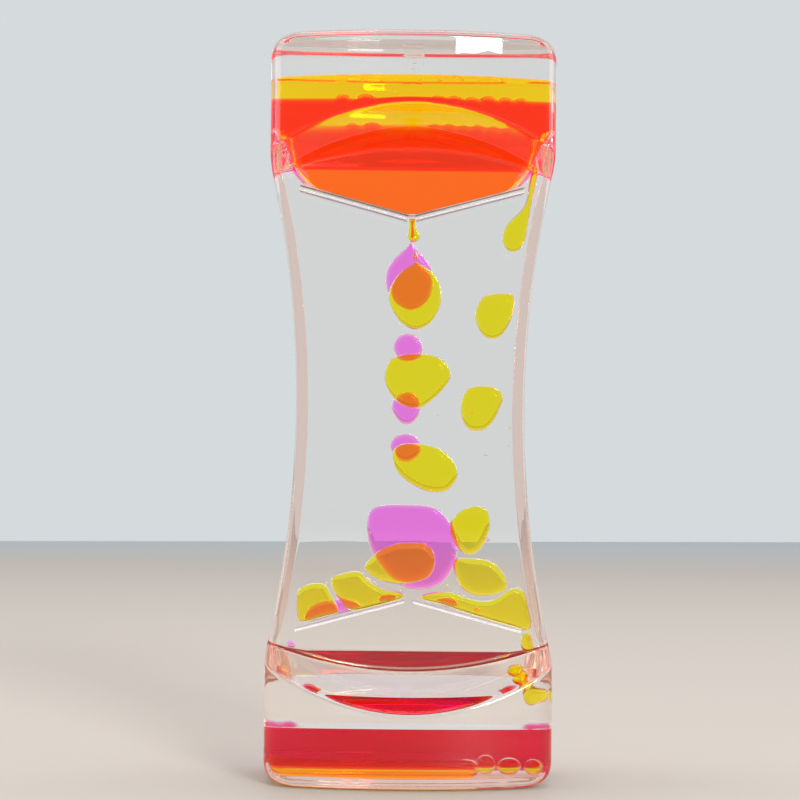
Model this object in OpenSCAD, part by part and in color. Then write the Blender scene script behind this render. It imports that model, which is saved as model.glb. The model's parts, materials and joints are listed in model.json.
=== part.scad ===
// Liquid motion timer: a clear hourglass block with two sealed chambers, one
// behind the other, over its whole height. The front chamber holds yellow
// liquid and the rear one pink liquid, each in a clear carrier liquid. Sloping
// slats make a funnel above the waist and a roof below it, and the coloured
// liquid drips through the gap between them.
// Millimetres, +Z up, -Y is the front. The origin is the centre of the base.

/* [Block] */
// Height of the block, without the nubs of the fill plugs
body_h = 155; // [145:1:175]
// Width of the head and of the foot
head_w = 59.4; // [55:0.2:66]
// Width at the waist
waist_w = 48; // [44:0.2:52]
// Depth over the bowed front and back faces, on the centre line
body_d = 38; // [32:0.5:46]
// Radius of the bow of the front and back faces, seen from above
bow_r = 80; // [60:1:120]
// Radius of the rounded upright edges of the head and foot
edge_r = 3.6; // [3:0.1:6]
// Radius of the four corners, seen from the front
corner_r = 4.6; // [3.5:0.1:8]
// Height above the middle at which the sides turn straight
shoulder_h = 52.5; // [46:0.5:56]
// Radius of the shoulder between the waist curve and the straight side
shoulder_r = 20; // [8:1:40]

/* [Dish in the front] */
// Height above the middle at which the flat panel ends, on the centre line
panel_h = 54.8; // [50:0.1:56]
// Radius of the curved end of the flat panel
panel_r = 75; // [66:1:100]
// How far the dish climbs from the panel to the face, on the centre line
dish_rise = 7.3; // [6:0.1:12]

/* [Trough in the back] */
// Height above the middle at which the flat panel ends in a straight edge
back_panel_h = 51.2; // [49.5:0.1:56]
// How far the ramp climbs from that edge to the face, on the centre line
ramp_rise = 8.9; // [7:0.1:12]

/* [Walls] */
// Side wall at the head and foot
side_wall = 2; // [1.6:0.1:3]
// Side wall at the waist
waist_wall = 2.4; // [2:0.1:4]
// Top and bottom wall
end_wall = 2; // [1.6:0.1:3]
// Bowed front and back wall of the head and foot
face_wall = 2; // [1.6:0.1:3]
// Flat panel at the waist, and the sloping wall of the dish and the trough
panel_wall = 2; // [1.4:0.1:3]
// Depth of one chamber behind the flat panel
chamber_d = 3.5; // [2.6:0.1:5]
// Thickness of the partition between the two chambers
partition_t = 1.6; // [1.2:0.1:3]
// How far the partition reaches into its rebate in the walls
rebate_w = 1; // [0.6:0.1:1.2]

/* [Slats] */
// Height above the middle of the inner ends of the slats
slat_h = 40.4; // [34:0.2:42]
// Distance of the outer ends from the inside of the side wall
slat_room = 4; // [3.4:0.1:7]
// Gap between the two slats of a pair, where the liquid drips through
slat_gap = 1.7; // [1.2:0.1:2.6]
// Thickness of a slat
slat_t = 0.9; // [0.7:0.05:1.2]
// Slope of a slat
slat_slope = 15; // [12:0.5:18]

/* [Fill ports] */
// Bore of a fill port through the top wall
port_r = 1.2; // [0.9:0.1:1.5]
// Outer radius of the boss under the port
boss_r = 2; // [1.9:0.1:2.6]
// Length of the boss under the top wall
boss_l = 2.8; // [2:0.1:4]
// Radius of the nub that seals the port from outside
nub_r = 2.3; // [2:0.1:3]
// Height of the nub
nub_h = 1.3; // [0.8:0.1:1.8]
// How far the pin of a plug reaches below its boss
pin_reach = 1.2; // [0.6:0.1:2]

/* [Liquid levels] */
// Air and carrier liquid above the yellow liquid in the head
yellow_head_room = 9.2; // [8:0.2:11]
// Carrier liquid above the pink liquid in the head
pink_head_room = 11.8; // [10.4:0.1:14.5]
// Height of the yellow pool over the base
yellow_foot_level = 6; // [5:0.1:8]
// Height of the pink pool over the base
pink_foot_level = 10.7; // [9.5:0.1:13]
// Distance of the rounded end of the yellow pool from the right wall
yellow_foot_end = 13.5; // [12.4:0.2:17]
// Half width over which the yellow liquid lies on the upper slats
yellow_funnel_w = 19; // [17:0.2:20]
// Half width over which the pink liquid lies on the upper slats
pink_funnel_w = 20.8; // [18:0.2:22]
// Radius in which the yellow liquid turns up from the slats to the wall
yellow_funnel_r = 9; // [6:0.5:12]
// Radius in which the pink liquid turns up from the slats to the wall
pink_funnel_r = 7; // [5:0.5:10]

/* [Clearances] */
// Gap between the partition and the edge of its rebate
fit_gap = 0.1; // [0.05:0.01:0.15]
// Gap between a liquid and the wall that it lies on
liquid_gap = 0.15; // [0.1:0.01:0.2]
// Gap between a drop and the panel or partition beside it
drop_gap = 0.3; // [0.2:0.01:0.4]

/* [Hidden] */

$fn = 96;
mid_z = body_h / 2;
half_w = head_w / 2;
half_waist = waist_w / 2;
half_d = body_d / 2;
half_partition = partition_t / 2;
slab_t = 2 * panel_wall + 2 * chamber_d + partition_t;
// Middle of the front chamber in the waist, and half the depth of a drop there
chamber_y = -(half_partition + chamber_d / 2);
drop_t = chamber_d - 2 * drop_gap;
// Inside of the block
in_w = half_w - side_wall;
in_waist = half_waist - waist_wall;
// Outer ends of the slats
slat_reach = in_w - slat_room;
// The dish and the trough widen by this much for each millimetre towards the face
dish_k = dish_rise / (half_d - slab_t / 2);
ramp_k = ramp_rise / (half_d - slab_t / 2);
over = 2;
small = 0.01;
port_y = -(half_partition + half_d - face_wall) / 2;
pin_r = port_r * 0.35;
slat_l = (slat_reach - slat_gap / 2) / cos(slat_slope);
// Vertical distance from the middle line of a slat to its upper face
slat_up = slat_t / 2 / cos(slat_slope);

// Steps that a curve is drawn in
n_waist = 10;
n_shoulder = 4;
n_corner = 6;
n_bow = 8;
n_drop = 22;
n_rim = 3;

// Where the drops hang or lie, chosen by eye from the object: sideways from
// the centre line, up from the middle, width and height of the drop, how much
// its top is drawn to a tip (0 for an oval), and its tilt in degrees
yellow_drop_1_at = [0.8, 23.8, 11.4, 13.9, 0.35, 0];
yellow_drop_2_at = [1.4, 5.7, 13.9, 11.8, 0.05, 4];
yellow_drop_3_at = [3.3, -12.4, 13.9, 10.1, -0.1, -14];
pink_drop_1_at = [-0.3, 28.1, 10.2, 14.0, 0.55, 0];
pink_drop_2_at = [-0.4, 13.1, 6.4, 6.1, 0, 0];
pink_drop_3_at = [-0.8, 0.3, 6.4, 7.0, 0, 10];
pink_drop_4_at = [-0.8, -8.2, 6.8, 6.4, 0, 0];
yellow_orifice_at = [0.5, 37.5, 2.8, 5.6, 0.6, 0];
pink_orifice_at = [0.4, 38.4, 2.0, 4.6, 0.5, 0];
// The drops of the leak are counted sideways from the wall beside them
yellow_leak_at = [-2.3, 42.1, 5.6, 15.7, 0.8, -17];
yellow_side_1_at = [-4.9, 19.8, 8.3, 9.9, 0.05, 0];
yellow_side_2_at = [-6.6, 0.3, 9.1, 9.7, -0.05, -20];
yellow_foot_leak_at = [-1.0, -44.8, 1.9, 10.3, 0.1, 11];
// Drops that lie on others over the roof of slats, the low one counted from the
// wall beside it
yellow_centre_at = [-1.6, -32.1, 15.1, 8.7, 0, 8];
yellow_high_right_at = [12.8, -25.0, 8.5, 10.3, 0, -8];
yellow_low_right_at = [-9.3, -34.1, 11.0, 7.4, 0, -10];
pink_centre_at = [1.0, -28.8, 19.4, 17.7, 0.08, 10];
// Drops that lie along a slat: sideways from the centre line, length and
// height, and how much the inner end is drawn to a tip. The long yellow one on
// the right is counted from the wall that it nearly meets.
yellow_far_left_on = [-17.8, 8.5, 6.8, 0.1];
yellow_left_on = [-6.6, 13.0, 5.2, 0.7];
yellow_right_on = [-14.4, 21.1, 5.4, 0.6];
pink_far_left_on = [-15.5, 12.1, 3.3, 0.2];
pink_left_on = [-4.5, 4.4, 1.9, 0.2];
pink_right_on = [7.8, 5.0, 1.9, 0.2];
// Beads that lie on the floor of the foot: sideways from the right wall, radius
yellow_beads_on = [[-11.1, 2.35], [-6.1, 2.4], [-2.4, 1.3]];
// Bead that slides down the right wall of the foot, under the dish: height over
// the middle, radius
yellow_wall_bead_at = [-57, 2.6];

// Points on an arc about c from angle a to angle b, without the first one
function arc(c, r, a, b, n) =
    [for (i = [1:n]) c + r * [cos(a + (b - a) * i / n), sin(a + (b - a) * i / n)]];

// A closed loop out of its first quarter, which runs from the X axis up to the
// Y axis, or ends near it. A point on an axis is drawn once.
function mirrored(q) =
    let (n = len(q))
    concat(
        q,
        [for (i = [n - 1:-1:0]) if (q[i][0] > small) [-q[i][0], q[i][1]]],
        [for (i = [1:n - 1]) [-q[i][0], -q[i][1]]],
        [for (i = [n - 1:-1:1]) if (q[i][0] > small) [q[i][0], -q[i][1]]]
    );

// Radius of the shoulder and the waist curve together: the two are tangent to
// each other, to the straight side and to the upright at the waist
function curve_r(hw, ww) = (pow(hw - ww, 2) + pow(shoulder_h, 2)) / (2 * (hw - ww));

// Hourglass seen from the front, about its middle: hw and ww are half the
// width at the head and at the waist, hh is half the height, rc and rs are the
// radii of the corner and the shoulder
function hourglass(hw, ww, hh, rc, rs) =
    let (
        wr = curve_r(hw, ww) - rs,
        t = asin(shoulder_h / (wr + rs))
    )
    mirrored(concat(
        [[ww, 0]],
        arc([ww + wr, 0], wr, 180, 180 - t, n_waist),
        arc([hw - rs, shoulder_h], rs, -t, 0, n_shoulder),
        [[hw, hh - rc]],
        arc([hw - rc, hh - rc], rc, 0, 90, n_corner)
    ));

// Bowed rectangle seen from above: hw is half the width, hd half the depth on
// the centre line, br the radius of the bow and er that of the upright edges
function bowed(hw, hd, br, er) =
    let (
        cy = hd - br,
        ey = cy + sqrt(pow(br - er, 2) - pow(hw - er, 2)),
        t = atan2(ey - cy, hw - er)
    )
    mirrored(concat(
        [[hw, 0], [hw, ey]],
        arc([hw - er, ey], er, 0, t, n_corner),
        arc([0, cy], br, t, 90, n_bow)
    ));

// Strip with round ends, from the origin along X
function strip(l, t) =
    concat(
        arc([l - t / 2, 0], t / 2, -90, 90, n_corner),
        arc([t / 2, 0], t / 2, 90, 270, n_corner)
    );

// Half the width of the chamber at a height over or under the middle: the waist
// curve, then the shoulder, then the straight side
function chamber_w(z) =
    let (
        rs = shoulder_r - side_wall,
        wr = curve_r(in_w, in_waist) - rs,
        up = min(abs(z), shoulder_h),
        bend = shoulder_h * wr / (wr + rs)
    )
    up < bend
        ? in_waist + wr - sqrt(wr * wr - up * up)
        : in_w - rs + sqrt(rs * rs - pow(shoulder_h - up, 2));

// The place of a drop that is counted from the right wall beside it
function beside_wall(at) = [chamber_w(at[1]) + at[0], at[1], at[2], at[3], at[4], at[5]];

// The same for a drop on a slat, counted from the straight part of the wall
function by_side(on) = [in_w + on[0], on[1], on[2], on[3]];

// Outline of a drop about its middle: tip draws its top in to a point
function drop_shape(w, h, tip) =
    [for (i = [0:n_drop - 1])
        let (a = 360 * i / n_drop)
        [w / 2 * cos(a) * (1 - tip * (1 + sin(a)) / 2), h / 2 * sin(a)]];

// Height of the middle line of an upper slat over the middle of the block
function slat_z(x) = slat_h + (abs(x) - slat_gap / 2) * tan(slat_slope);

// Liquid on the funnel of slats, up to a level: it lies on the slats out to
// half width fw, turns up in a round edge and meets the wall
function funnel(fw, r, level) =
    let (
        lift = slat_up + liquid_gap / cos(slat_slope),
        c = [fw - r * sin(slat_slope), slat_z(fw) + lift + r * cos(slat_slope)],
        q = concat(
            [[0, slat_z(0) + lift], [fw, slat_z(fw) + lift]],
            arc(c, r, slat_slope - 90, 12, n_corner),
            [[half_w, c[1] + r / 2], [half_w, level]]
        )
    )
    concat(q, [for (i = [len(q) - 1:-1:1]) [-q[i][0], q[i][1]]]);

// A front view outline, given about the middle of the block, made solid
// between y0 and y1
module from_front(points, y0, y1) {
    translate([0, y1, mid_z])
        rotate([90, 0, 0])
            linear_extrude(height = y1 - y0)
                polygon(points);
}

// The hourglass block between y0 and y1, shrunk by a wall each way
module block(side, waist, end, face, y0, y1) {
    hw = half_w - side;
    intersection() {
        from_front(
            hourglass(hw, half_waist - waist, mid_z - end, corner_r - end, shoulder_r - side),
            y0, y1
        );
        translate([0, 0, -over])
            linear_extrude(height = body_h + 2 * over)
                polygon(bowed(hw, half_d - face, bow_r - face, edge_r - face));
    }
}

// The dish in the front: a flat panel with a sloping wall round it, which two
// turned shapes about centres above and below the middle bound. It is grown by
// g into the block, square to its surfaces.
module dish(g) {
    floor_y = slab_t / 2 - g;
    top_y = half_d + over;
    floor_r = panel_r + g * (sqrt(1 + dish_k * dish_k) - dish_k);
    top_r = floor_r + (top_y - floor_y) * dish_k;
    intersection_for (s = [-1, 1])
        translate([0, 0, mid_z + s * (panel_h - panel_r)])
            rotate([90, 0, 0])
                rotate_extrude()
                    polygon([[0, floor_y], [floor_r, floor_y], [top_r, top_y], [0, top_y]]);
}

// The trough in the back, drawn in the front half: a flat panel with straight
// edges, from which a ramp climbs to the face. It is grown by g in the same way.
module trough(g) {
    floor_y = slab_t / 2 - g;
    top_y = half_d + over;
    floor_h = back_panel_h + g * (sqrt(1 + ramp_k * ramp_k) - ramp_k);
    top_h = floor_h + (top_y - floor_y) * ramp_k;
    translate([-half_w - over, 0, mid_z])
        rotate([90, 0, 90])
            linear_extrude(height = head_w + 2 * over)
                polygon([[-floor_y, -floor_h], [-floor_y, floor_h], [-top_y, top_h], [-top_y, -top_h]]);
}

// The hollow that one half of the block has in its face
module hollow(back, g) {
    if (back)
        trough(g);
    else
        dish(g);
}

// The chamber of one half, shrunk all round by gap
module chamber(back, gap) {
    difference() {
        block(
            side_wall + gap, waist_wall + gap, end_wall + gap, face_wall + gap,
            -half_d, -half_partition - gap
        );
        hollow(back, panel_wall + gap);
    }
}

// The plate outline of the partition, with the gap to its rebate
function plate(gap) =
    hourglass(
        in_w + rebate_w - gap, in_waist + rebate_w - gap,
        mid_z - end_wall + rebate_w - gap, corner_r - end_wall, shoulder_r - side_wall
    );

// One half of the housing, with its fill port
module half_shell(back) {
    difference() {
        union() {
            difference() {
                block(0, 0, 0, 0, -half_d - over, 0);
                hollow(back, 0);
                chamber(back, 0);
                from_front(plate(0), -half_partition, over);
            }
            translate([0, port_y, body_h - end_wall - boss_l])
                cylinder(r = boss_r, h = boss_l + end_wall / 2);
        }
        translate([0, port_y, body_h - end_wall - boss_l - over])
            cylinder(r = port_r, h = boss_l + end_wall + 2 * over);
    }
}

module front_shell() {
    color([0.96, 0.90, 0.88, 0.4])
        half_shell(false);
}

module rear_shell() {
    color([0.93, 0.88, 0.87, 0.4])
        mirror([0, 1, 0])
            half_shell(true);
}

module centre_partition() {
    color([0.90, 0.93, 0.95, 0.4])
        from_front(plate(fit_gap), -half_partition, half_partition);
}

// One slat: across is 1 for the right and -1 for the left, up is 1 for the
// funnel and -1 for the roof, and depth is -1 for the front and 1 for the rear
module slat(across, up, depth) {
    color([0.97, 0.97, 0.97])
        translate([0, 0, mid_z])
            scale([across, -depth, up])
                translate([slat_gap / 2, -half_partition, slat_h])
                    rotate([90, 0, 0])
                        rotate([0, 0, slat_slope])
                            linear_extrude(height = chamber_d)
                                polygon(strip(slat_l, slat_t));
}

// A plug: a stem in the port, a nub over it and a pin under it
module fill_plug() {
    nub_round = (nub_r * nub_r + nub_h * nub_h) / (2 * nub_h);
    color([0.97, 0.86, 0.82])
        translate([0, port_y, body_h]) {
            intersection() {
                translate([0, 0, nub_h - nub_round])
                    sphere(r = nub_round);
                cylinder(r = nub_r + over, h = nub_h + over);
            }
            translate([0, 0, -end_wall - boss_l])
                cylinder(r = port_r, h = end_wall + boss_l);
            translate([0, 0, -end_wall - boss_l - pin_reach])
                cylinder(r = pin_r, h = pin_reach + small);
        }
}

module front_fill_plug() {
    fill_plug();
}

module rear_fill_plug() {
    mirror([0, 1, 0])
        fill_plug();
}

// A drop squeezed between panel and partition: the outline is lofted through
// rings that round its rim, from the front face to the back face
module pebble(points) {
    n = len(points);
    rim = drop_t / 2;
    // Each ring: its place in depth, and how far the outline is drawn in
    turns = [for (i = [0:2 * n_rim]) -80 + 160 * i / (2 * n_rim)];
    least = min([for (p = points) norm(p)]);
    draw = min(rim * 0.8, least * 0.5);
    rings = [for (a = turns)
        let (
            k = 1 - draw * (1 - cos(a)) / least,
            y = rim * sin(a) / sin(80)
        )
        [for (p = points) [p[0] * k, y, p[1] * k]]];
    m = len(rings);
    sides = [for (j = [0:m - 2]) for (i = [0:n - 1]) for (q = [0:1])
        let (a = j * n + i, b = j * n + (i + 1) % n)
        q == 0 ? [a, b, b + n] : [a, b + n, a + n]];
    caps = [
        [for (i = [n - 1:-1:0]) i],
        [for (i = [0:n - 1]) (m - 1) * n + i]
    ];
    polyhedron(points = [for (r = rings) each r], faces = concat(sides, caps));
}

// A drop in the waist: depth is -1 in the front chamber and 1 in the rear one
module drop(at, depth) {
    translate([at[0], depth * abs(chamber_y), mid_z + at[1]])
        rotate([0, -at[5], 0])
            pebble(drop_shape(at[2], at[3], at[4]));
}

// A drop that lies along a slat of the roof, its tip towards the middle
module slat_drop(on, depth) {
    side = on[0] < 0 ? -1 : 1;
    rise = slat_up + (on[2] / 2 + drop_gap) / cos(slat_slope);
    translate([on[0], depth * abs(chamber_y), mid_z - slat_z(on[0]) + rise])
        rotate([0, side * slat_slope, 0])
            rotate([0, -side * 90, 0])
                pebble(drop_shape(on[2], on[1], on[3]));
}

module yellow() {
    color([0.86, 0.82, 0.10])
        children();
}

module pink() {
    color([0.87, 0.33, 0.72])
        children();
}

// The yellow liquid that still lies in the head, on the front slats
module yellow_head_liquid() {
    level = mid_z - yellow_head_room;
    yellow()
        intersection() {
            chamber(false, liquid_gap);
            from_front(funnel(yellow_funnel_w, yellow_funnel_r, level), -half_d, 0);
        }
}

// The pink liquid that still lies in the head, on the rear slats
module pink_head_liquid() {
    level = mid_z - pink_head_room;
    pink()
        mirror([0, 1, 0])
            intersection() {
                chamber(true, liquid_gap);
                from_front(funnel(pink_funnel_w, pink_funnel_r, level), -half_d, 0);
            }
}

// The yellow pool in the foot, which ends in a round edge
module yellow_foot_pool() {
    r = (yellow_foot_level - end_wall) / 2;
    low = -mid_z + end_wall;
    end = in_w - yellow_foot_end;
    yellow()
        intersection() {
            chamber(false, liquid_gap);
            from_front(
                concat(
                    [[-half_w, low + 2 * r], [-half_w, low]],
                    [[end - r, low]],
                    arc([end - r, low + r], r, -90, 90, n_corner)
                ),
                -half_d, 0
            );
        }
}

// The pink pool in the foot, up to its level
module pink_foot_pool() {
    pink()
        mirror([0, 1, 0])
            intersection() {
                chamber(true, liquid_gap);
                translate([-half_w, -half_d, 0])
                    cube([head_w, half_d, pink_foot_level]);
            }
}

module yellow_foot_beads() {
    yellow()
        for (bead = yellow_beads_on)
            translate([in_w + bead[0], port_y, end_wall + drop_gap + bead[1]])
                sphere(r = bead[1], $fn = 48);
}

// The bead lies beside the side wall, as wide as the chamber is at its top, and
// hangs clear of the bowed face
module yellow_wall_bead() {
    z = yellow_wall_bead_at[0];
    r = yellow_wall_bead_at[1];
    side = chamber_w(z + r);
    yellow()
        translate([side - drop_gap - r, -half_partition - drop_gap - r, mid_z + z])
            sphere(r = r, $fn = 48);
}

front_shell();
rear_shell();
centre_partition();
slat(-1, 1, -1);  // front_upper_left_slat
slat(1, 1, -1);  // front_upper_right_slat
slat(-1, -1, -1);  // front_lower_left_slat
slat(1, -1, -1);  // front_lower_right_slat
slat(-1, 1, 1);  // rear_upper_left_slat
slat(1, 1, 1);  // rear_upper_right_slat
slat(-1, -1, 1);  // rear_lower_left_slat
slat(1, -1, 1);  // rear_lower_right_slat
front_fill_plug();
rear_fill_plug();
yellow_head_liquid();
pink_head_liquid();
yellow_foot_pool();
pink_foot_pool();
yellow_foot_beads();
yellow_wall_bead();
yellow() drop(beside_wall(yellow_foot_leak_at), -1);  // yellow_foot_leak
yellow() drop(yellow_orifice_at, -1);  // yellow_orifice_drop
pink() drop(pink_orifice_at, 1);  // pink_orifice_drop
yellow() drop(beside_wall(yellow_leak_at), -1);  // yellow_leak_drop
yellow() drop(yellow_drop_1_at, -1);  // yellow_drop_1
yellow() drop(yellow_drop_2_at, -1);  // yellow_drop_2
yellow() drop(yellow_drop_3_at, -1);  // yellow_drop_3
pink() drop(pink_drop_1_at, 1);  // pink_drop_1
pink() drop(pink_drop_2_at, 1);  // pink_drop_2
pink() drop(pink_drop_3_at, 1);  // pink_drop_3
pink() drop(pink_drop_4_at, 1);  // pink_drop_4
yellow() drop(beside_wall(yellow_side_1_at), -1);  // yellow_side_drop_1
yellow() drop(beside_wall(yellow_side_2_at), -1);  // yellow_side_drop_2
yellow() drop(yellow_centre_at, -1);  // yellow_heap_centre
yellow() slat_drop(yellow_far_left_on, -1);  // yellow_heap_far_left
yellow() slat_drop(yellow_left_on, -1);  // yellow_heap_left
yellow() slat_drop(by_side(yellow_right_on), -1);  // yellow_heap_right
yellow() drop(beside_wall(yellow_low_right_at), -1);  // yellow_heap_low_right
yellow() drop(yellow_high_right_at, -1);  // yellow_heap_high_right
pink() drop(pink_centre_at, 1);  // pink_heap_centre
pink() slat_drop(pink_far_left_on, 1);  // pink_heap_far_left
pink() slat_drop(pink_left_on, 1);  // pink_heap_left
pink() slat_drop(pink_right_on, 1);  // pink_heap_right
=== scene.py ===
"""Looks of a liquid motion timer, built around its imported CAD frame.

A clear hourglass block holds two sealed chambers, one behind the other. Yellow
liquid drips through the front one and pink liquid through the rear one, each in
a clear carrier liquid. All sizes are in millimetres about the middle of the
block, with +Z up and -Y to the front, until a mesh is made in metres.

Light bends by the ratio of the two materials on either side of a surface, so a
surface between plastic and carrier liquid has the ratio of the two as its IOR.
"""

from __future__ import annotations

import json
import logging
import math
from dataclasses import dataclass, field, replace
from enum import Enum
from typing import Callable, Sequence

import bmesh
import bpy
import numpy as np
from mathutils import Matrix, Vector


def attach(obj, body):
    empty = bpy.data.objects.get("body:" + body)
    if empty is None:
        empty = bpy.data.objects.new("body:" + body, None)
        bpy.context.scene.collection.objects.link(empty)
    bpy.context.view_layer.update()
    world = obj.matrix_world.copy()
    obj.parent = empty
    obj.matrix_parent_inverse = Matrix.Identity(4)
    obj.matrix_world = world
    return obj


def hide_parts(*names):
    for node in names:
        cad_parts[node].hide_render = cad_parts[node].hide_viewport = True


Array = np.ndarray

LOG = logging.getLogger("timer")
MM = 0.001
MID_Z = 77.5
ACRYLIC_IOR = 1.49
CARRIER_IOR = 1.46
WATER_IOR = 1.35
# Low enough for the top of the pink pool to mirror what meets it at a low angle.
POOL_IOR_RATIO = 1.30 / 1.48
# Share of a surface's normal along Y: at the first it faces front, at the second not.
FRONT_FACING, SIDE_FACING = 0.85, 0.05
# Enough for a ray's way through all the clear surfaces of both chambers.
BOUNCES = 48


class Side(Enum):
    """The front chamber with the yellow liquid, or the rear one with the pink."""

    FRONT = -1.0
    REAR = 1.0


class Body(str, Enum):
    """The CAD bodies that carry the pieces and don't fall."""

    HOUSING = "housing"


# ---------------------------------------------------------------- finishes


def linear(hex_colour: str) -> tuple[float, float, float, float]:
    """Turns an sRGB hex colour into linear values.

    Args:
        hex_colour: six hex digits after a #.

    Returns:
        Red, green and blue, and 1 for alpha.
    """
    srgb = np.array([int(hex_colour[i:i + 2], 16) for i in (1, 3, 5)]) / 255.0
    low, high = srgb / 12.92, ((srgb + 0.055) / 1.055) ** 2.4
    red, green, blue = np.where(srgb <= 0.04045, low, high)
    return float(red), float(green), float(blue), 1.0


def add_node(
    tree: bpy.types.NodeTree, kind: str, settings: dict | None = None, **inputs: object
) -> bpy.types.Node:
    """Adds a node with its settings, plain values and links.

    Args:
        tree: the node tree that gets the node.
        kind: the node's bl_idname.
        settings: attributes of the node, such as its operation.
        inputs: sockets by name, with _ for a blank or by in_ and a number. A
            socket is linked, and anything else becomes the plain value.

    Returns:
        The new node.
    """
    node = tree.nodes.new(kind)
    for name, value in (settings or {}).items():
        setattr(node, name, value)
    for name, value in inputs.items():
        key = int(name[3:]) if name.startswith("in_") else name.replace("_", " ")
        socket = node.inputs[key]
        if isinstance(value, bpy.types.NodeSocket):
            tree.links.new(value, socket)
        else:
            socket.default_value = value
    return node


def new_material(name: str) -> tuple[bpy.types.Material, bpy.types.NodeTree]:
    """Makes an empty node material and returns it with its tree."""
    material = bpy.data.materials.new(name)
    material.use_nodes = True
    material.node_tree.nodes.clear()
    return material, material.node_tree


def split(tree: bpy.types.NodeTree, space: str, axis: str) -> bpy.types.NodeSocket:
    """One axis of a texture coordinate, such as the Y of Object or of Normal."""
    place = add_node(tree, "ShaderNodeTexCoord").outputs[space]
    return add_node(tree, "ShaderNodeSeparateXYZ", Vector=place).outputs[axis]


def noise(tree: bpy.types.NodeTree, width_mm: float, **inputs: float
          ) -> bpy.types.NodeSocket:
    """Soft noise that goes with the object, its marks as wide as named."""
    place = add_node(tree, "ShaderNodeTexCoord").outputs["Object"]
    return add_node(
        tree, "ShaderNodeTexNoise", Vector=place, Scale=1 / (width_mm * MM), **inputs,
    ).outputs["Fac"]


def relief(tree: bpy.types.NodeTree, height: bpy.types.NodeSocket, strength: float
           ) -> bpy.types.NodeSocket:
    """Normal of a surface that a height bends a little, by a bump of up to 1 mm."""
    return add_node(
        tree, "ShaderNodeBump", Height=height, Strength=strength, Distance=MM,
    ).outputs["Normal"]


def blend(tree: bpy.types.NodeTree, share: bpy.types.NodeSocket, first: str, second: str
          ) -> bpy.types.NodeSocket:
    """A colour that goes from the first hex colour to the second with the share."""
    return add_node(
        tree, "ShaderNodeMix", {"data_type": "RGBA"}, Factor=share,
        in_6=linear(first), in_7=linear(second),
    ).outputs[2]


def principled(tree: bpy.types.NodeTree, **inputs: object
               ) -> dict[str, bpy.types.NodeSocket]:
    """The Principled surface with these inputs, as the output node takes it."""
    shader = add_node(tree, "ShaderNodeBsdfPrincipled", **inputs)
    return {"Surface": shader.outputs["BSDF"]}


@dataclass(frozen=True)
class ClearPlastic:
    """Acrylic or polystyrene, injection moulded and clear.

    It gives the eye sharp reflections that swim a little where the plastic
    shrank, a faint warm tint, and a painted reflection of the coloured liquids
    where it faces sideways.

    Attributes:
        name: name of the material.
        ior: index of the plastic over that of what touches it.
        tint: colour that one surface lets through.
        edge_tint_and_painted_reflection: the same where the surface faces sideways, up or
            down; partly
        the warm tint of the depth of plastic that the eye looks into there, and
        partly a painted reflection of the coloured liquids inside the walls.
        ripple_mm: width of the shrink marks.
        ripple_depth: how strongly they bend a reflection.
    """

    name: str
    ior: float
    tint: str = "#FFFEFD"
    edge_tint_and_painted_reflection: str = "#FFFEFD"
    ripple_mm: float = 9.0
    ripple_depth: float = 0.012

    def material(self) -> bpy.types.Material:
        """Makes the material of this finish."""
        material, tree = new_material(self.name)
        waves = noise(tree, self.ripple_mm, Detail=1.0, Roughness=0.4)
        front = split(tree, "Normal", "Y")
        # Where a face turns sideways it takes edge_tint_and_painted_reflection: partly the
        # plastic's warm tint, partly a painted reflection of the coloured liquids.
        size = add_node(tree, "ShaderNodeMath", {"operation": "ABSOLUTE"}, in_0=front)
        side = add_node(
            tree, "ShaderNodeMapRange", {"interpolation_type": "SMOOTHSTEP"},
            Value=size.outputs["Value"], From_Min=FRONT_FACING, From_Max=SIDE_FACING,
        )
        shade = blend(tree, side.outputs["Result"], self.tint, self.edge_tint_and_painted_reflection)
        add_node(tree, "ShaderNodeOutputMaterial", **principled(
            tree, Base_Color=shade, Roughness=0.0, IOR=self.ior, Transmission_Weight=1.0,
            Normal=relief(tree, waves, self.ripple_depth),
        ))
        return material


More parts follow.
